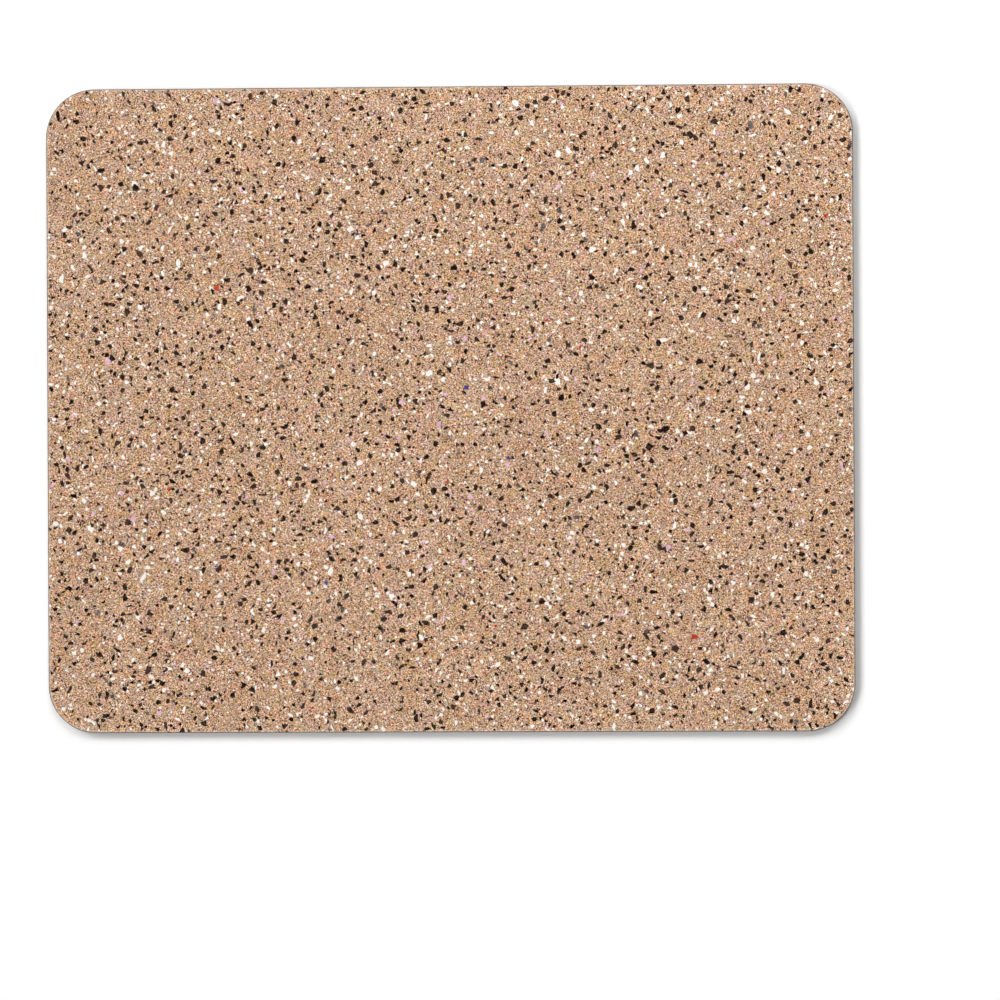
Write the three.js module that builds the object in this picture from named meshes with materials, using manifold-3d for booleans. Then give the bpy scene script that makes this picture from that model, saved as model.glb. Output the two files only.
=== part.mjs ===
// Mouse pad: a granulated cork sheet, laminated to a non-slip rubber base and die-cut to shape.
// Millimetres, +Z up. The origin is at the middle of the underside, with +X along the long side.

import * as THREE from 'three';
import { mergeVertices } from 'three/addons/utils/BufferGeometryUtils.js';
import Module from 'manifold-3d';

const wasm = await Module();
wasm.setup();

// Driving dimensions of the die-cut outline
const padLength = 250;
const padWidth = 200;
const cornerRadius = 15;

// Driving thicknesses of the laminate, from the desk up
const baseThickness = 1;
const glueThickness = 0.1;
const corkThickness = 1.9;

// How far the top edge of the cork is rounded over
const edgeEasing = 0.35;

// Spare length by which a cutting block overruns what it trims
const cutOverrun = 5;

// Counts that set how finely the arcs are stepped
const cornerHalfSteps = 8;
const easingSteps = 3;

// Heights at which each layer starts
const glueLevel = baseThickness;
const corkLevel = glueLevel + glueThickness;

// Outline of the pad: four corner arcs joined by straight sides
function padOutline() {
  const arcX = padLength / 2 - cornerRadius;
  const arcY = padWidth / 2 - cornerRadius;
  const quarter = Math.PI / 2;
  const outline = new THREE.Shape();
  outline.absarc(arcX, arcY, cornerRadius, 0, quarter);
  outline.absarc(-arcX, arcY, cornerRadius, quarter, 2 * quarter);
  outline.absarc(-arcX, -arcY, cornerRadius, 2 * quarter, 3 * quarter);
  outline.absarc(arcX, -arcY, cornerRadius, 3 * quarter, 4 * quarter);
  outline.closePath();
  return outline;
}

// A sheet with square edges, lying on z = 0
function squareEdgedSheet(thickness) {
  return new THREE.ExtrudeGeometry(padOutline(), {
    depth: thickness,
    curveSegments: cornerHalfSteps,
    bevelEnabled: false,
  });
}

// The same sheet with both of its edges rounded over, the lower one below z = 0
function roundEdgedBlank(thickness) {
  return new THREE.ExtrudeGeometry(padOutline(), {
    depth: thickness - edgeEasing,
    curveSegments: cornerHalfSteps,
    bevelEnabled: true,
    bevelThickness: edgeEasing,
    bevelSize: edgeEasing,
    bevelOffset: -edgeEasing,
    bevelSegments: easingSteps,
  });
}

// A solid for cutting, from a closed geometry with its shared corners merged
function solidFrom(geometry) {
  const bare = geometry.clone();
  bare.deleteAttribute('normal');
  bare.deleteAttribute('uv');
  const merged = mergeVertices(bare);
  return new wasm.Manifold(new wasm.Mesh({
    numProp: 3,
    vertProperties: new Float32Array(merged.attributes.position.array),
    triVerts: new Uint32Array(merged.index.array),
  }));
}

// A geometry to show, from a cut solid
function geometryFrom(solid) {
  const mesh = solid.getMesh();
  const geometry = new THREE.BufferGeometry();
  geometry.setAttribute('position', new THREE.BufferAttribute(mesh.vertProperties, 3));
  geometry.setIndex(new THREE.BufferAttribute(mesh.triVerts, 1));
  geometry.computeVertexNormals();
  return geometry;
}

// Cork blank trimmed flat where it is glued, so that only its top edge stays rounded
function corkSheetGeometry() {
  const blockLength = padLength + 2 * cutOverrun;
  const blockWidth = padWidth + 2 * cutOverrun;
  const blockHeight = edgeEasing + cutOverrun;
  const block = new THREE.BoxGeometry(blockLength, blockWidth, blockHeight);
  block.translate(0, 0, -blockHeight / 2);
  return geometryFrom(solidFrom(roundEdgedBlank(corkThickness)).subtract(solidFrom(block)));
}

// Bonded cork granules in warm tan, dry and matt
function corkMaterial() {
  return new THREE.MeshStandardMaterial({ color: 0xba9980, roughness: 0.85, metalness: 0 });
}

// Dried laminating adhesive, pale amber
function glueMaterial() {
  return new THREE.MeshStandardMaterial({ color: 0xcdb98c, roughness: 0.5, metalness: 0 });
}

// Natural rubber, near black
function rubberMaterial() {
  return new THREE.MeshStandardMaterial({ color: 0x262422, roughness: 0.9, metalness: 0 });
}

// One layer of the laminate, named and set at its height
function layer(name, geometry, material, level) {
  const mesh = new THREE.Mesh(geometry, material);
  mesh.name = name;
  mesh.position.z = level;
  return mesh;
}

const mousePad = new THREE.Group();
mousePad.add(layer('rubber_base', squareEdgedSheet(baseThickness), rubberMaterial(), 0));
mousePad.add(layer('glue_film', squareEdgedSheet(glueThickness), glueMaterial(), glueLevel));
mousePad.add(layer('cork_sheet', corkSheetGeometry(), corkMaterial(), corkLevel));

export default mousePad;
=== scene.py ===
import math

import bpy
import numpy as np
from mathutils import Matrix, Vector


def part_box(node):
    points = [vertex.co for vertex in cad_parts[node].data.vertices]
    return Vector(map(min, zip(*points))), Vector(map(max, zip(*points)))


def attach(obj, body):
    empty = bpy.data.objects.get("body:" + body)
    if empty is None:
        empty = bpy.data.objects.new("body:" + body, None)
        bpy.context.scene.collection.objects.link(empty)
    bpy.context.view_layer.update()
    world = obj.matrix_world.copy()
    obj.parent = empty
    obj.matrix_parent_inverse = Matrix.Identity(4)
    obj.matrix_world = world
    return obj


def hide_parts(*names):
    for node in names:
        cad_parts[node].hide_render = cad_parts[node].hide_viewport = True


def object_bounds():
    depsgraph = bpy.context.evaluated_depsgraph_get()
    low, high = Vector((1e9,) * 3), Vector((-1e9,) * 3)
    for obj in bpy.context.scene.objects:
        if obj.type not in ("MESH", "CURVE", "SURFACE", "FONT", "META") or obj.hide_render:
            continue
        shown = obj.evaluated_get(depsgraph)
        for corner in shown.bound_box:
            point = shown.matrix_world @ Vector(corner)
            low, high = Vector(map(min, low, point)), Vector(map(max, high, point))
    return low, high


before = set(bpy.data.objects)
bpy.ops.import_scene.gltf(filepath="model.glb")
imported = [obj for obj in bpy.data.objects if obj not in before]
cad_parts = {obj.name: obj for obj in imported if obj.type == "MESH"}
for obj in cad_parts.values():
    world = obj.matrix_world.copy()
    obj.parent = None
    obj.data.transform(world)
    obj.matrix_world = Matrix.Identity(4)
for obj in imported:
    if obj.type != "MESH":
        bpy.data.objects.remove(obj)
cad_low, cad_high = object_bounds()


# Camera: looks down on the pad from a little under three quarters of a metre, a little over a degree off
# square and a quarter of a degree round, as the four edges of the pad lie in the photograph.
camera_place = (0.03199, -0.02841, 0.73324)
camera_turn_degrees = (0.015, 1.287, -0.269)
camera_lens_mm, camera_sensor_mm = 85, 36

camera_data = bpy.data.cameras.new("camera")
camera_data.lens = camera_lens_mm
camera_data.sensor_width = camera_sensor_mm
camera = bpy.data.objects.new("camera", camera_data)
camera.location = camera_place
camera.rotation_euler = [math.radians(angle) for angle in camera_turn_degrees]
bpy.context.scene.collection.objects.link(camera)
bpy.context.scene.camera = camera
bpy.context.scene.view_settings.view_transform = "Standard"


# Studio light: three soft suns spread round the upper left, which throw the short soft shadow that runs
# round the pad from its far right corner to its near left one, weak even light from all round, and a
# weak lamp on the far side.
lamp_place = (0.07, 0.28, 0.21)
lamp_side = 0.2
lamp_watts = 0.20
# A share is how bright the light alone makes a flat white surface. The rest is in degrees.
room_share = 0.044
soft_suns = {
    "left_sun": {"share": 0.300, "height": 45, "bearing": 202, "width": 22},
    "middle_sun": {"share": 0.345, "height": 41.5, "bearing": 141, "width": 30},
    "far_sun": {"share": 0.235, "height": 47.5, "bearing": 73, "width": 22},
}


def add_light(name, kind, place, **settings):
    """A light of one kind, put at a place and turned to face the origin."""
    data = bpy.data.lights.new(name, kind)
    for key, value in settings.items():
        setattr(data, key, value)
    light = bpy.data.objects.new(name, data)
    light.location = place
    bpy.context.scene.collection.objects.link(light)
    bpy.context.view_layer.update()
    light.rotation_mode = "QUATERNION"
    light.rotation_quaternion = light.location.to_track_quat("Z", "Y")


for name, sun in soft_suns.items():
    height, bearing = math.radians(sun["height"]), math.radians(sun["bearing"])
    level = math.cos(height)
    way = (level * math.cos(bearing), level * math.sin(bearing), math.sin(height))
    strength = sun["share"] * math.pi / math.sin(height)
    add_light(name, "SUN", way, energy=strength, angle=math.radians(sun["width"]))
add_light("side_lamp", "AREA", lamp_place, energy=lamp_watts, size=lamp_side)


# Table: a plain white surface under the pad, with the room behind it equally white. It keeps the pad's
# shadow. It is open under the pad and clear from below, so that the underside can be looked at too.
table_half = 3.0
table_drop = 0.00002
table_opening_inset = 0.0003
table_corner_steps = 12
table_white = (0.99, 0.99, 0.99)
full_white = (1, 1, 1)
pad_half_length, pad_half_width = cad_high[0], cad_high[1]
pad_corner_radius = 0.015
# What the table adds to its own white where the camera sees it.
table_lift = 0.064


class Wire:
    """A socket that a node gives out. Arithmetic on it adds the Math nodes that work the sum out."""

    def __init__(self, tree, socket=None):
        self.tree = tree
        self.socket = socket

    def node(self, kind, settings=None, sockets=None, out=0):
        """Adds a node: its kind, its settings with a ramp's stops among them, then what its sockets hold
        or are linked to."""
        node = self.tree.nodes.new(kind)
        for key, value in (settings or {}).items():
            if key == "stops":
                set_stops(node.color_ramp, value)
            else:
                setattr(node, key, value)
        for key, value in (sockets or {}).items():
            socket = find_socket(node.inputs, key)
            if isinstance(value, Wire):
                self.tree.links.new(value.socket, socket)
            else:
                socket.default_value = fitted(value, socket)
        return Wire(self.tree, find_socket(node.outputs, out) if len(node.outputs) else None)

    def out(self, name):
        """Another output of the node that this wire comes from."""
        return Wire(self.tree, find_socket(self.socket.node.outputs, name))

    def math(self, operation, *values):
        """A Math node on numbers and wires."""
        return self.node("ShaderNodeMath", {"operation": operation}, dict(enumerate(values)))

    def __add__(self, other):
        return self.math("ADD", self, other)

    def __sub__(self, other):
        return self.math("SUBTRACT", self, other)

    def __rsub__(self, other):
        return self.math("SUBTRACT", other, self)

    def __mul__(self, other):
        return self.math("MULTIPLY", self, other)

    def __lt__(self, other):
        return self.math("LESS_THAN", self, other)

    def __gt__(self, other):
        return self.math("GREATER_THAN", self, other)

    __radd__ = __add__
    __rmul__ = __mul__

    def clamped(self):
        """This value, held between 0 and 1."""
        return self.node("ShaderNodeClamp", {}, {"Value": self})

    def smooth(self, low, high):
        """Eases from 0 where the value is low to 1 where it is high."""
        settings = {"interpolation_type": "SMOOTHSTEP"}
        sockets = {"Value": self, "From Min": low, "From Max": high}
        return self.node("ShaderNodeMapRange", settings, sockets)

    def mixed(self, first, second, blend="MIX"):
        """Two colours mixed, with this value as the share of the second."""
        settings = {"data_type": "RGBA", "blend_type": blend}
        sockets = {"Factor": self, "A": first, "B": second}
        return self.node("ShaderNodeMix", settings, sockets, "Result")


def find_socket(sockets, key):
    """A socket by its number, or the first one in use by its name."""
    if isinstance(key, int):
        return sockets[key]
    return next(socket for socket in sockets if socket.enabled and socket.name == key)


def fitted(value, socket):
    """A colour gets the opaque fourth number that a colour socket wants."""
    is_colour = socket.type == "RGBA" and len(value) == 3
    return (*value, 1.0) if is_colour else value


def set_stops(ramp, stops):
    """Gives a ramp its stops, each a place from 0 to 1 and a colour."""
    while len(ramp.elements) < len(stops):
        ramp.elements.new(1.0)
    for element, (place, colour) in zip(ramp.elements, stops):
        element.position = place
        element.color = (*colour, 1.0)


def new_tree(owner):
    """Empties the node tree of a material or world, and gives a wire to add nodes with."""
    owner.use_nodes = True
    owner.node_tree.nodes.clear()
    return Wire(owner.node_tree)


def seen_directly(start):
    """1 on rays that come straight from the camera, or by a reflection or through glass."""
    rays = start.node("ShaderNodeLightPath")
    seen = rays.out("Is Camera Ray") + rays.out("Is Glossy Ray") + rays.out("Is Transmission Ray")
    return seen.clamped()


def table_material():
    """White that keeps a shadow, and nothing at all where it is seen from below."""
    material = bpy.data.materials.new("white_table")
    start = new_tree(material)
    matt = start.node("ShaderNodeBsdfDiffuse", {}, {"Color": table_white})
    strength = seen_directly(start) * table_lift
    lift = start.node("ShaderNodeEmission", {}, {"Color": full_white, "Strength": strength})
    surface = start.node("ShaderNodeAddShader", {}, {0: matt, 1: lift})
    clear = start.node("ShaderNodeBsdfTransparent")
    below = start.node("ShaderNodeNewGeometry", {}, {}, "Backfacing")
    both = start.node("ShaderNodeMixShader", {}, {0: below, 1: surface, 2: clear})
    start.node("ShaderNodeOutputMaterial", {}, {"Surface": both})
    return material


def rounded_outline(half_length, half_width, radius, arc_steps):
    """Points once round a rounded rectangle: each corner's centre plus its radius, turned through 90
    degrees in equal steps."""
    turn = np.linspace(0, math.pi / 2, arc_steps + 1)
    angle = (np.arange(4)[:, None] * math.pi / 2 + turn).ravel()
    side_x = np.repeat([1, -1, -1, 1], arc_steps + 1)
    side_y = np.repeat([1, 1, -1, -1], arc_steps + 1)
    x = side_x * (half_length - radius) + radius * np.cos(angle)
    y = side_y * (half_width - radius) + radius * np.sin(angle)
    return np.stack([x, y], axis=1)


def make_table():
    """A ring of faces from the opening under the pad to the table's edge. Each point of the edge is the
    opening's point scaled outwards, until its larger coordinate is the table's half size."""
    inset = table_opening_inset
    half_length, half_width = pad_half_length - inset, pad_half_width - inset
    near = rounded_outline(half_length, half_width, pad_corner_radius - inset, table_corner_steps)
    far = near * table_half / np.abs(near).max(axis=1, keepdims=True)
    count = len(near)
    points = np.zeros((2 * count, 3))
    points[:, :2] = np.concatenate([near, far])
    points[:, 2] = -table_drop
    here = np.arange(count)
    after = (here + 1) % count
    faces = np.stack([here, here + count, after + count, after], axis=1)
    mesh = bpy.data.meshes.new("table")
    mesh.from_pydata(points.tolist(), [], faces.tolist())
    mesh.materials.append(table_material())
    table = bpy.data.objects.new("table", mesh)
    bpy.context.scene.collection.objects.link(table)


def make_room():
    """White where the camera sees it, and dimmer as a light from all round."""
    world = bpy.data.worlds.new("room")
    bpy.context.scene.world = world
    start = new_tree(world)
    strength = seen_directly(start) * (1 - room_share) + room_share
    glow = start.node("ShaderNodeBackground", {}, {"Color": full_white, "Strength": strength})
    start.node("ShaderNodeOutputWorld", {}, {"Surface": glow})


make_table()
make_room()


# Rubber base: a millimetre of non-slip rubber, moulded with a fine diamond grip underneath and glued to
# the cork with its smooth side. It is cut flush with the cork, so its edge is as plain as a knife's cut.
base_low, base_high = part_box("rubber_base")
face_pitch = 0.0009
grip_depth = 0.00018
grip_pitch_cells = 6
grip_fade = 0.002
base_ring_heights = np.array([0.0003, 0.0006, base_high[2]])
wall_crest = 0.5
rubber_colour = (0.030, 0.028, 0.026)
dusty_rubber_colour = (0.057, 0.0532, 0.0494)
grain_weight, bloom_weight = 0.55, 0.45
painted_hollow_shade, painted_crest_light = (0.35, 0.35, 0.35), (1.6, 1.6, 1.6)
mm_per_m = 1000.0
# The map for baking: room past the pad's half length, what each ring of the base's wall is spread by,
# and the corner that hidden faces share.
chart_margin = 0.0025
chart_ring_spread = 0.004
hidden_corner, hidden_scale = 0.97, 0.02


def face_grid(half_length, half_width, radius, pitch):
    """Plan points in a grid over a rounded rectangle: rows evenly spaced, but by equal angles beside the
    corner arcs, each row's points spread evenly between the outline's two sides at its height."""
    arc_steps = math.ceil(math.pi / 2 * radius / pitch)
    flat_steps = math.ceil(2 * (half_width - radius) / pitch)
    cols = math.ceil(2 * half_length / pitch) + 1
    angle = np.linspace(0, math.pi / 2, arc_steps + 1)[1:]
    flat = np.linspace(-(half_width - radius), half_width - radius, flat_steps + 1)
    rise = half_width - radius + radius * np.sin(angle)
    reach = half_length - radius + radius * np.cos(angle)
    y = np.concatenate([-rise[::-1], flat, rise])
    half_row = np.concatenate([reach[::-1], np.full(len(flat), half_length), reach])
    x = half_row[:, None] * np.linspace(-1, 1, cols)
    return np.stack([x, np.repeat(y[:, None], cols, axis=1)], axis=-1)


def border_of_grid(rows, cols):
    """Point numbers once round a grid's border, anticlockwise from its first point."""
    number = np.arange(rows * cols).reshape(rows, cols)
    return np.concatenate([number[0, :-1], number[:-1, -1], number[-1, :0:-1], number[:0:-1, 0]])


def cells_of_grid(rows, cols):
    """Corner numbers of a grid's cells, anticlockwise seen from above."""
    first = (np.arange(rows - 1)[:, None] * cols + np.arange(cols - 1)).ravel()
    return np.stack([first, first + 1, first + cols + 1, first + cols], axis=1)


def loops_of(border, face_count, ring_count):
    """Point numbers of the face's border, and of each ring of as many points that follows the face."""
    around = np.arange(len(border))
    return [border, *(around + face_count + len(border) * ring for ring in range(ring_count))]


def band_faces(upper, lower):
    """Faces between two closed loops of as many points, facing outwards when the first is the upper."""
    return np.stack([upper, lower, np.roll(lower, -1), np.roll(upper, -1)], axis=1)


def chart_of(plan):
    """Places on the bake's map: the piece's unrolled plan, scaled to fill the map's width."""
    widest = 2 * (pad_half_length + chart_margin)
    return plan / widest + 0.5 * np.array([1.0, pad_half_width / pad_half_length])


def add_piece(name, points, faces, chart, hidden, material):
    """Puts points and faces into a mesh with its map for baking. Hidden faces share one corner of it."""
    mesh = bpy.data.meshes.new(name)
    mesh.from_pydata(points.tolist(), [], faces)
    corners = np.empty(len(mesh.loops), dtype=np.int32)
    mesh.loops.foreach_get("vertex_index", corners)
    places = chart[corners]
    is_hidden = np.repeat(hidden, [len(face) for face in faces])
    places[is_hidden] = hidden_corner + hidden_scale * chart[corners[is_hidden]]
    mesh.uv_layers.new(name="OFBake").data.foreach_set("uv", places.ravel())
    mesh.materials.append(material)
    piece = bpy.data.objects.new(name, mesh)
    bpy.context.scene.collection.objects.link(piece)
    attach(piece, "root")
    return piece


def store(piece, name, values):
    """Keeps a number for each point of a piece's mesh, for its material to read."""
    attribute = piece.data.attributes.new(name, "FLOAT", "POINT")
    attribute.data.foreach_set("value", values.astype(np.float32))


def stored(start, name):
    """A number kept for each point, read back in the piece's material."""
    return start.node("ShaderNodeAttribute", {"attribute_name": name}, {}, "Fac")


def object_place(start):
    """Object coordinates in millimetres."""
    place = start.node("ShaderNodeTexCoord", {}, {}, "Object")
    return start.node("ShaderNodeVectorMath", {"operation": "SCALE"}, {"Vector": place, "Scale": mm_per_m})


def noise(place, per_mm, detail=2.0, roughness=0.5):
    """Cloudy noise from 0 to 1: how many clouds to a millimetre, how many finer layers lie on them, and
    how strong each layer is beside the one before."""
    sockets = {"Vector": place, "Scale": per_mm, "Detail": detail, "Roughness": roughness}
    return place.node("ShaderNodeTexNoise", {}, sockets)


def multiplied(colour, other):
    """Two colours multiplied part by part."""
    return colour.node("ShaderNodeVectorMath", {"operation": "MULTIPLY"}, {0: colour, 1: other})


def finish_material(material, start, colour, roughness, height, relief, specular=0.5):
    """The shader that every piece ends in: colour and roughness over the surface, and a bump."""
    bump_sockets = {"Strength": 1.0, "Distance": relief, "Height": height}
    sockets = {
        "Base Color": colour,
        "Roughness": roughness,
        "Specular IOR Level": specular,
        "Normal": start.node("ShaderNodeBump", {}, bump_sockets, "Normal"),
    }
    surface = start.node("ShaderNodeBsdfPrincipled", {}, sockets)
    start.node("ShaderNodeOutputMaterial", {}, {"Surface": surface})
    return material


def rubber_material():
    """Near-black rubber with a fine dusty grain, painted light on the grip's crests and shade in its
    hollows.
    """
    material = bpy.data.materials.new("non_slip_rubber")
    start = new_tree(material)
    place = object_place(start)
    grain = noise(place, per_mm=2.6, detail=3.0, roughness=0.6)
    bloom = noise(place, per_mm=0.05, detail=3.0, roughness=0.55)
    dust = grain * grain_weight + bloom * bloom_weight
    dusty = dust.smooth(0.35, 0.7).mixed(rubber_colour, dusty_rubber_colour)
    # Painted light and shade: the grip's crests are paler and its hollows darker.
    crest_light_and_shade = stored(start, "crest").mixed(painted_hollow_shade, painted_crest_light)
    colour = multiplied(dusty, crest_light_and_shade)
    roughness = 0.62 + 0.25 * grain
    return finish_material(material, start, colour, roughness, grain, relief=0.00006, specular=0.15)


def make_rubber_base():
    """Grip face: a crossed wave whose crests stand on the table. The hollow at a point is half of one
    less the product of a cosine along and a cosine across, and fades out towards the border. Walls run
    straight up to the glue."""
    plan = face_grid(base_high[0], base_high[1], pad_corner_radius, face_pitch)
    x, y = plan[..., 0], plan[..., 1]
    rows, cols = x.shape
    pitch = grip_pitch_cells * 2 * base_high[0] / (cols - 1)
    wave = math.pi * 2 / pitch
    crossed = 0.5 - 0.5 * np.cos(wave * x) * np.cos(wave * y)
    fade_across = np.clip((base_high[1] - np.abs(y)) / grip_fade, 0, 1)
    fade_along = np.clip((base_high[0] - np.abs(x)) / grip_fade, 0, 1)
    hollow = crossed * (fade_across * fade_along)
    z = base_low[2] + grip_depth * hollow
    face = np.stack([x.ravel(), y.ravel(), z.ravel()], axis=1)
    border = border_of_grid(rows, cols)
    ring_count = len(base_ring_heights)
    rings = np.repeat(face[border][None], ring_count, axis=0)
    rings[:, :, 2] = base_ring_heights[:, None]
    points = np.concatenate([face, rings.reshape(-1, 3)])
    loops = loops_of(border, len(face), ring_count)
    walls = np.concatenate([band_faces(upper, lower) for lower, upper in zip(loops, loops[1:])])
    cells = cells_of_grid(rows, cols)[:, ::-1]
    faces = [*cells.tolist(), *walls.tolist(), loops[-1].tolist()]
    hidden = np.arange(len(faces)) == len(faces) - 1
    growth = 1 + chart_ring_spread * np.arange(1, ring_count + 1)
    spread = growth[:, None, None] * face[border][:, :2]
    chart = chart_of(np.concatenate([face[:, :2], spread.reshape(-1, 2)]))
    piece = add_piece("grip_base", points, faces, chart, hidden, rubber_material())
    crest = np.full(len(points), wall_crest)
    crest[: len(face)] = 1 - hollow.ravel()
    crest[border] = wall_crest
    store(piece, "crest", crest)
    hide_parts("rubber_base")


make_rubber_base()


# Glue film: a tenth of a millimetre of laminating adhesive that holds cork and rubber together. Only its
# cut edge can be seen, as a thin pale line between them.
glue_colour = (0.42, 0.30, 0.15)
dark_glue_colour = (0.189, 0.135, 0.0675)


def glue_material():
    """Dried glue, cloudy amber, with a slight shine where the cut has smeared it."""
    material = bpy.data.materials.new("laminating_adhesive")
    start = new_tree(material)
    cloud = noise(object_place(start), per_mm=0.9, detail=3.0)
    colour = cloud.smooth(0.3, 0.7).mixed(dark_glue_colour, glue_colour)
    roughness = 0.35 + 0.3 * cloud
    return finish_material(material, start, colour, roughness, cloud, relief=0.00003)


glue_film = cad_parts["glue_film"]
glue_film.data.materials.clear()
glue_film.data.materials.append(glue_material())


# Cork sheet: cork granules ground small and bonded with scraps of coloured rubber, then skived flat and
# cut with a die, which rounds the top edge a little. A pale rim along that edge is a painted highlight,
# and a dark line there and the darker cut are painted shade. It is glued down all over.
sheet_low, sheet_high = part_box("cork_sheet")
top_height = sheet_high[2]
sheet_thickness = sheet_high[2] - sheet_low[2]
edge_rounding = 0.00035
rounded_length = edge_rounding * math.pi / 2
cut_length = rounded_length + sheet_thickness - edge_rounding
core_half = np.array([pad_half_length - pad_corner_radius, pad_half_width - pad_corner_radius])
pore_depth = 0.00006
pore_pitch = 0.0011
pore_seed = 3
cork_shades = [
    (0.05, (0.106, 0.010, 0.000)),
    (0.20, (0.223, 0.096, 0.027)),
    (0.36, (0.441, 0.258, 0.150)),
    (0.56, (0.678, 0.436, 0.283)),
    (0.76, (0.863, 0.576, 0.390)),
    (0.93, (0.928, 0.625, 0.428)),
]
fine_grain_mm, dust_grain_mm, patch_mm = 0.2, 0.32, 1.5
grain_share, patch_share = 0.97, 0.03
black_dust_below, white_dust_above = 0.07, 0.93
black_dust_colour = (0.032, 0.007, 0.001)
white_dust_colour = (0.99, 0.82, 0.66)
cool_tint, warm_tint = (0.943, 1.023, 1.195), (1.057, 0.977, 0.805)
green_tint, pink_tint = (0.943, 1.031, 0.938), (1.057, 0.969, 1.062)
mottle_tint = (0.95, 0.94, 0.93)
bend_mm = (0.08, 0.08, 0.08)
shade_height, noise_height = 0.6, 0.4
painted_cut_shade = (0.56, 0.50, 0.46)
rim_highlight_strength, painted_rim_highlight = 0.38, (0.74, 0.60, 0.47)
edge_shade_strength, edge_shade_colour = 0.82, (0.120, 0.110, 0.105)
# Where the cut's painted shade, the rim's painted highlight and the painted shade line on the edge fade,
# in millimetres: depths go down from the top face, and margins go inwards from the border of the flat.
cut_depths = (0.10, 0.25)
rim_depths, rim_margins = (0.1, 0.2), (0.2, 0.6)
edge_shade_depths, edge_shade_margins = (0.30, 0.55), (-0.08, 0.01)


def wrapped(plan, lift):
    """Plan points laid on the sheet like a cover: flat over the top, round the rounded edge, then down
    the wall. What lies a distance past the flat goes that far along the skin, and lift is outwards."""
    core_radius = pad_corner_radius - edge_rounding
    past_core = np.maximum(np.abs(plan) - core_half, 0)
    reach = np.linalg.norm(past_core, axis=-1)
    outward = past_core / np.maximum(reach, 1e-9)[..., None] * np.sign(plan)
    past_flat = np.clip(reach - core_radius, 0, cut_length)
    turn = np.minimum(past_flat / edge_rounding, math.pi / 2)
    down_wall = np.maximum(past_flat - rounded_length, 0)
    on_flat = plan - outward * np.maximum(reach - core_radius, 0)[..., None]
    across = (edge_rounding + lift) * np.sin(turn)
    height = top_height - edge_rounding + (edge_rounding + lift) * np.cos(turn) - down_wall
    return np.concatenate([on_flat + outward * across[..., None], height[..., None]], axis=-1)


def flat_margin(plan):
    """How far plan points lie within the border of the flat top, in millimetres: the radius of its
    corners less the distance from their centres. Past the border it is less than 0 and runs on along
    the skin."""
    reach = np.linalg.norm(np.maximum(np.abs(plan) - core_half, 0), axis=-1)
    return mm_per_m * (pad_corner_radius - edge_rounding - reach)


def eased(share):
    """From 0 to 1, level at both ends: three times the square less twice the cube."""
    return share * share * (3 - 2 * share)


def lattice_noise(plan, pitch, seed):
    """Random heights from 0 to 1 at the points of a square lattice, eased smoothly in between."""
    spare = 4
    column = (plan[..., 0] + pad_half_length) / pitch + spare
    row = (plan[..., 1] + pad_half_width) / pitch + spare
    size = (int(row.max()) + spare, int(column.max()) + spare)
    heights = np.random.default_rng(seed).random(size)
    left, under = column.astype(int), row.astype(int)
    across, up = eased(column - left), eased(row - under)
    lower = heights[under, left] * (1 - across) + heights[under, left + 1] * across
    upper = heights[under + 1, left] * (1 - across) + heights[under + 1, left + 1] * across
    return lower * (1 - up) + upper * up


def grains(place, size_mm):
    """Grains of a size, in three dimensions so that they carry on down the cut edge. Each has random
    numbers of its own: this is the first, and the wire's Green and Blue outputs are two more."""
    sockets = {"Vector": place, "Scale": 1.0 / size_mm, "Randomness": 1.0}
    colour = place.node("ShaderNodeTexVoronoi", {"voronoi_dimensions": "3D"}, sockets, "Color")
    return colour.node("ShaderNodeSeparateColor", {}, {"Color": colour})


def depth_below_top(start, place):
    """Millimetres down from the top face."""
    return top_height * mm_per_m - start.node("ShaderNodeSeparateXYZ", {}, {"Vector": place}, "Z")


def on_the_cut(depth):
    """0 on the top face, and 1 from a quarter of a millimetre down, on the cut."""
    return depth.smooth(*cut_depths)


def with_painted_edge_shade(colour, inward, depth):
    """A colour with a dark line painted along the rounded edge as painted shade."""
    line = (1 - inward.smooth(*edge_shade_margins)) * (1 - depth.smooth(*edge_shade_depths))
    return (line * edge_shade_strength).mixed(colour, edge_shade_colour)


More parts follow.
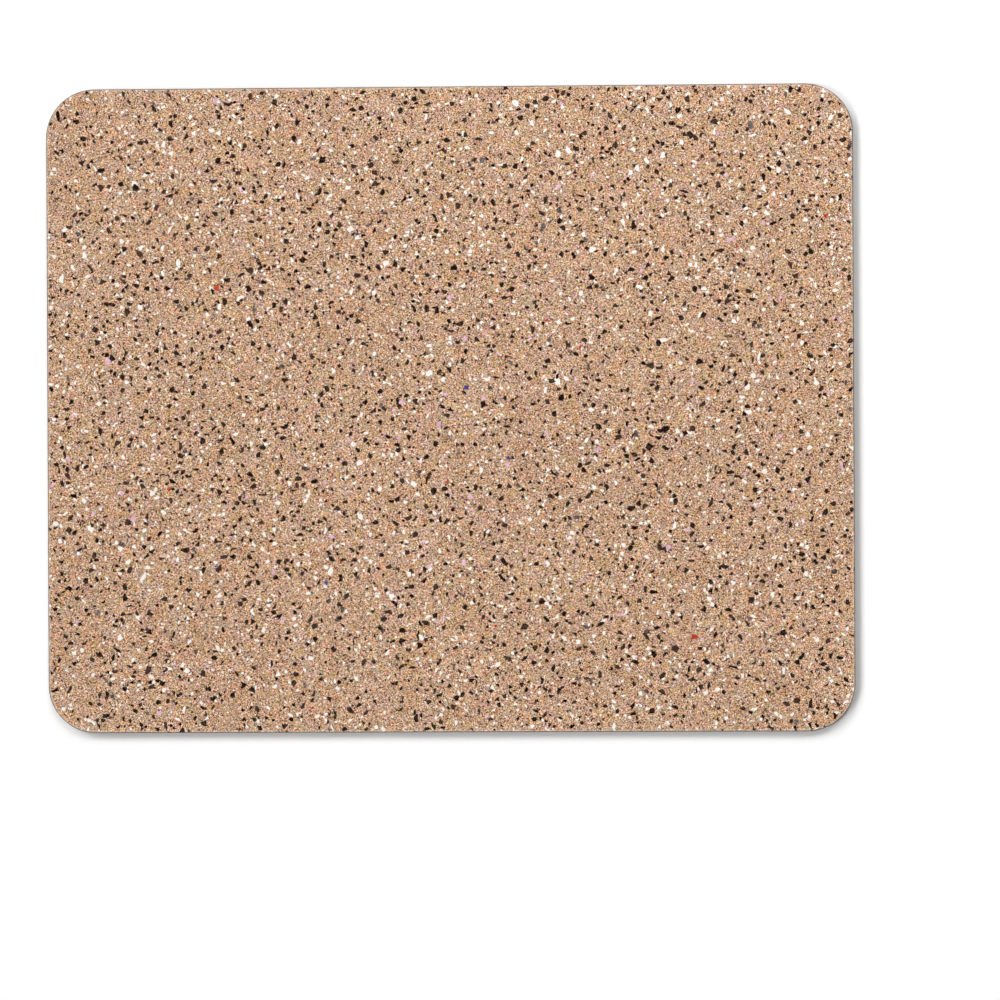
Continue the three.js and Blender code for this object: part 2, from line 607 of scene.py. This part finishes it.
def cork_material():
    """Cork granules from dark bark to cream, with black and white rubber dust between them. Their
    borders are bent a little, wider patches differ in tint, and a painted highlight runs along the rim."""
    material = bpy.data.materials.new("granulated_cork")
    start = new_tree(material)
    place = object_place(start)
    bend = noise(place, per_mm=2.6, detail=1.0).out("Color")
    bend_sockets = {0: bend, 1: bend_mm, 2: place}
    bent = start.node("ShaderNodeVectorMath", {"operation": "MULTIPLY_ADD"}, bend_sockets)
    fine = grains(bent, fine_grain_mm)
    patch = grains(bent, patch_mm)
    dust = grains(bent, dust_grain_mm)
    shade = fine * grain_share + patch * patch_share
    tan = start.node("ShaderNodeValToRGB", {"stops": cork_shades}, {"Fac": shade})
    warmed = multiplied(tan, patch.mixed(cool_tint, warm_tint))
    tinted = multiplied(warmed, patch.out("Green").mixed(green_tint, pink_tint))
    mottle = noise(place, per_mm=0.035, detail=3.0)
    toned = mottle.smooth(0.3, 0.7).mixed(tinted, mottle_tint, "MULTIPLY")
    blackened = (dust < black_dust_below).mixed(toned, black_dust_colour)
    dusted = (dust > white_dust_above).mixed(blackened, white_dust_colour)
    depth = depth_below_top(start, place)
    inward = stored(start, "inward")
    # Painted highlight: the top is made paler along its rim.
    rim = (1 - inward.smooth(*rim_margins)) * (1 - depth.smooth(*rim_depths))
    rim_highlighted = (rim * rim_highlight_strength).mixed(dusted, painted_rim_highlight)
    # Painted shade: the cut wall is darkened.
    shaded = on_the_cut(depth).mixed(rim_highlighted, painted_cut_shade, "MULTIPLY")
    # Painted shade: a dark line along the rounded edge.
    colour = with_painted_edge_shade(shaded, inward, depth)
    height = shade * shade_height + noise(place, per_mm=4.0) * noise_height
    roughness = 0.72 + 0.2 * shade
    return finish_material(material, start, colour, roughness, height, relief=0.00004, specular=0.1)


def make_cork_sheet():
    """Top face with small pores below its flat, wrapped over the rounded edge and down to the glue. A
    pore lies where the lattice noise is over a half, and is deeper the more it is over."""
    flat_half_length, flat_half_width = pad_half_length - edge_rounding, pad_half_width - edge_rounding
    grid = face_grid(flat_half_length, flat_half_width, pad_corner_radius - edge_rounding, face_pitch)
    rows, cols = grid.shape[:2]
    border = border_of_grid(rows, cols)
    edge = grid.reshape(-1, 2)[border]
    out = edge - np.clip(edge, -core_half, core_half)
    out_length = np.hypot(out[:, 0], out[:, 1])[:, None]
    round_steps = rounded_length * np.array([1 / 3, 2 / 3, 1])
    wall_steps = np.linspace(rounded_length, cut_length, 4)[1:]
    steps = np.concatenate([round_steps, wall_steps])
    rings = edge + steps[:, None, None] * out / out_length
    rough = lattice_noise(grid, pore_pitch, pore_seed)
    pores = np.clip(rough - 0.5, 0, 1) * 2 * pore_depth
    face = wrapped(grid, -pores).reshape(-1, 3)
    skirt = wrapped(rings, np.zeros(rings.shape[:2])).reshape(-1, 3)
    points = np.concatenate([face, skirt])
    plan = np.concatenate([grid.reshape(-1, 2), rings.reshape(-1, 2)])
    loops = loops_of(border, len(face), len(steps))
    walls = np.concatenate([band_faces(upper, lower) for upper, lower in zip(loops, loops[1:])])
    faces = [*cells_of_grid(rows, cols).tolist(), *walls.tolist(), loops[-1][::-1].tolist()]
    hidden = np.arange(len(faces)) == len(faces) - 1
    chart = chart_of(plan)
    piece = add_piece("cork_granulate", points, faces, chart, hidden, cork_material())
    store(piece, "inward", flat_margin(plan))
    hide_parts("cork_sheet")


make_cork_sheet()


# Rubber granules: shards of ground rubber, black and white and a few coloured, bonded among the cork and
# skived flat with it, so each one shows its cut face. Those at the edge are cut by the die as well.
granule_kinds = {
    "black": {
        "per_cm2": 9.6,
        "median": 0.00116,
        "colour": (0.004, 0.0003, 0.0001),
        "tint": (0.098, 0.058, 0.043),
    },
    "white": {
        "per_cm2": 7.0,
        "median": 0.00091,
        "colour": (0.99, 0.96, 0.92),
        "tint": (0.89, 0.81, 0.73),
    },
    "grey": {
        "per_cm2": 0.56,
        "median": 0.00117,
        "colour": (0.055, 0.040, 0.036),
        "tint": (0.27, 0.215, 0.205),
    },
    "pink": {
        "per_cm2": 0.27,
        "median": 0.00108,
        "colour": (0.68, 0.39, 0.51),
        "tint": (0.97, 0.70, 0.86),
    },
    "red": {
        "per_cm2": 0.026,
        "median": 0.0013,
        "colour": (0.50, 0.035, 0.025),
        "tint": (0.58, 0.12, 0.09),
    },
    "blue": {
        "per_cm2": 0.013,
        "median": 0.00125,
        "colour": (0.07, 0.055, 0.22),
        "tint": (0.12, 0.10, 0.30),
    },
}
size_spread = 0.28
smallest_granule, largest_granule = 0.0005, 0.00185
clear_of_like, clear_of_unlike = 0.54, 0.33
scatter_seed, shape_seed = 11, 12
granule_corners = 7
corner_jitter = 0.38
radius_spread, least_radius, most_radius = 0.34, 0.42, 1.7
stretch_spread, bend_spread = 0.42, 0.18
granule_lift = 0.00003
least_lift, most_lift = 0.5, 1.3
face_share = 0.93
bevel_drop = 0.2
granule_depth = 0.00025
tinted_from, tinted_fully = 0.0006, 0.0014
tone_weight, speckle_weight, untinted_below = 0.6, 0.9, 0.28
painted_rubber_cut_shade = (0.78, 0.74, 0.70)


def scatter_granules(seed):
    """Draws every granule at once: kind, middle and width, evenly over the unrolled sheet. Any that lies
    too close to a wider one is dropped. The least distance is a share of the two widths' sum, which is
    larger for two of one kind than for two of different kinds."""
    draw = np.random.default_rng(seed)
    half = np.array([pad_half_length, pad_half_width]) - edge_rounding + cut_length
    cm2_per_m2 = 1e4
    area_cm2 = 4 * half[0] * half[1] * cm2_per_m2
    counts = [round(kind["per_cm2"] * area_cm2) for kind in granule_kinds.values()]
    kinds = np.repeat(np.arange(len(counts)), counts)
    medians = np.repeat([kind["median"] for kind in granule_kinds.values()], counts)
    middles = draw.uniform(-half, half, (len(kinds), 2))
    widths = medians * np.exp(size_spread * draw.standard_normal(len(kinds)))
    widths = np.clip(widths, smallest_granule, largest_granule)
    order = np.argsort(middles[:, 0])
    kinds, middles, widths = kinds[order], middles[order], widths[order]
    is_free = np.ones(len(kinds), dtype=bool)
    # Each granule is set against the one so many steps further along x, all at once for each step.
    for step in range(1, len(kinds)):
        gap = middles[step:] - middles[:-step]
        if gap[:, 0].min() > largest_granule:
            break
        clear = np.where(kinds[step:] == kinds[:-step], clear_of_like, clear_of_unlike)
        crowded = np.hypot(gap[:, 0], gap[:, 1]) < clear * (widths[step:] + widths[:-step])
        is_narrower = widths[step:] < widths[:-step]
        is_free[step:] &= ~(crowded & is_narrower)
        is_free[:-step] &= ~(crowded & ~is_narrower)
    return kinds[is_free], middles[is_free], widths[is_free]


def granule_outlines(draw, count):
    """Unit shards: corners at uneven angles and uneven radii, drawn out along one way, bent by the square
    of the distance along it, and turned any way."""
    jitter = draw.uniform(-corner_jitter, corner_jitter, (count, granule_corners))
    angle = (np.arange(granule_corners) + jitter) * 2 * math.pi / granule_corners
    uneven = 1 + radius_spread * draw.standard_normal((count, granule_corners))
    radius = 0.5 * np.clip(uneven, least_radius, most_radius)
    stretch = np.exp(np.abs(stretch_spread * draw.standard_normal((count, 1))))
    along = radius * np.cos(angle) * np.sqrt(stretch)
    straight = radius * np.sin(angle) / np.sqrt(stretch)
    across = straight + bend_spread * draw.standard_normal((count, 1)) * along * along
    turn = draw.uniform(0, 2 * math.pi, (count, 1))
    x = along * np.cos(turn) - across * np.sin(turn)
    y = along * np.sin(turn) + across * np.cos(turn)
    return np.stack([x, y], axis=-1)


def granule_faces(count):
    """Corner numbers of the faces of a number of granules: all the cut faces, then all the bevels, then
    all the walls. A granule's points are its cut face's corners, its bevel's foot and its lower end."""
    ring = np.arange(granule_corners)
    ring_after = np.roll(ring, -1)
    foot, foot_after = ring + granule_corners, ring_after + granule_corners
    lower_end = np.full_like(ring, 2 * granule_corners)
    bevels = np.stack([ring, foot, foot_after, ring_after], axis=1)
    walls = np.stack([foot, lower_end, foot_after], axis=1)
    first = np.arange(count)[:, None, None] * (2 * granule_corners + 1)
    return [
        *(ring + first[:, 0]).tolist(),
        *(bevels + first).reshape(-1, 4).tolist(),
        *(walls + first).reshape(-1, 3).tolist(),
    ]


def granule_material(name, colour, tint):
    """Cut rubber: each granule its own tone between two colours, faintly mottled and dull, with painted
    shade on the cut and along the rounded edge. The wider granules may show more of the second."""
    material = bpy.data.materials.new(name)
    start = new_tree(material)
    place = object_place(start)
    speckle = noise(place, per_mm=2.4)
    share = stored(start, "tone") * tone_weight + speckle.smooth(0.40, 0.68) * speckle_weight
    shade = (share - untinted_below).clamped().mixed(colour, tint)
    depth = depth_below_top(start, place)
    # Painted shade: the cut wall is darkened, and a dark line runs along the rounded edge.
    cut_shaded = on_the_cut(depth).mixed(shade, painted_rubber_cut_shade, "MULTIPLY")
    lined = with_painted_edge_shade(cut_shaded, stored(start, "inward"), depth)
    roughness = 0.5 + 0.3 * speckle
    return finish_material(material, start, lined, roughness, speckle, relief=0.00003, specular=0.03)


def make_granules():
    """Each granule has a flat cut face, a narrow bevel round it, and walls that narrow to a point down in
    the cork. All its corners are wrapped on the sheet's skin. Beside the pad's corners the plan reaches
    past the skin's lower end, and a granule whose middle lies there is left out."""
    kinds, middles, widths = scatter_granules(scatter_seed)
    draw = np.random.default_rng(shape_seed)
    outlines = granule_outlines(draw, len(kinds)) * widths[:, None, None]
    lifts = granule_lift * draw.uniform(least_lift, most_lift, len(kinds))
    most_tone = np.clip((widths - tinted_from) / (tinted_fully - tinted_from), 0, 1)
    tones = draw.random(len(kinds)) * most_tone
    on_sheet = flat_margin(middles) > -mm_per_m * cut_length
    for number, (name, kind) in enumerate(granule_kinds.items()):
        of_kind = on_sheet & (kinds == number)
        count = int(of_kind.sum())
        middle = middles[of_kind][:, None]
        outline = outlines[of_kind]
        plan = np.concatenate([middle + face_share * outline, middle + outline, middle], axis=1)
        lift = np.zeros(plan.shape[:2])
        lift[:, :granule_corners] = lifts[of_kind][:, None]
        lift[:, granule_corners:-1] = -bevel_drop * granule_lift
        lift[:, -1] = -granule_depth
        points = wrapped(plan, lift).reshape(-1, 3)
        faces = granule_faces(count)
        hidden = np.arange(len(faces)) >= (1 + granule_corners) * count
        material = granule_material(name + "_rubber", kind["colour"], kind["tint"])
        corners = plan.reshape(-1, 2)
        chart = chart_of(corners)
        piece = add_piece(name + "_granules", points, faces, chart, hidden, material)
        store(piece, "tone", np.repeat(tones[of_kind], plan.shape[1]))
        store(piece, "inward", flat_margin(corners))


make_granules()
